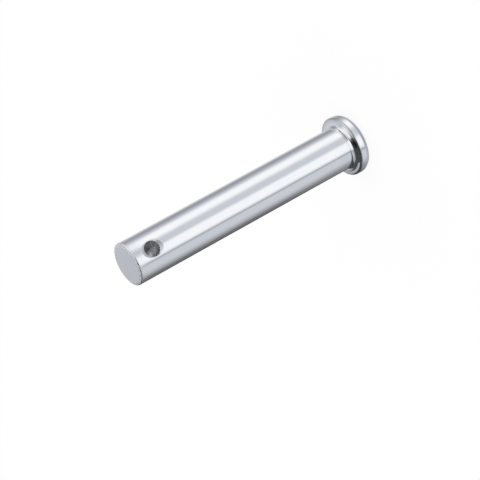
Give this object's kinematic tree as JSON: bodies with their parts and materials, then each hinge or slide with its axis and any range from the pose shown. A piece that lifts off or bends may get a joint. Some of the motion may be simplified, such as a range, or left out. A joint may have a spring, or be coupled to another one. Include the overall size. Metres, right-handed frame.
{
  "type": "clevis pin",
  "caption": "Round steel pin with a flat head and a countersunk cross hole near its chamfered free end, for joining a clevis to an eye.",
  "frame": {"origin": "centre of the head's outer face, on which the pin stands", "axes": "+Z along the pin's axis from the head to the free end; the cross hole runs along Y"},
  "size_m": [0.014, 0.014, 0.0625],
  "materials": {
    "zinc_plate": "bright zinc plate over turned steel"
  },
  "bodies": {
    "root": {"clevis_pin": "zinc_plate"}
  },
  "joints": []
}
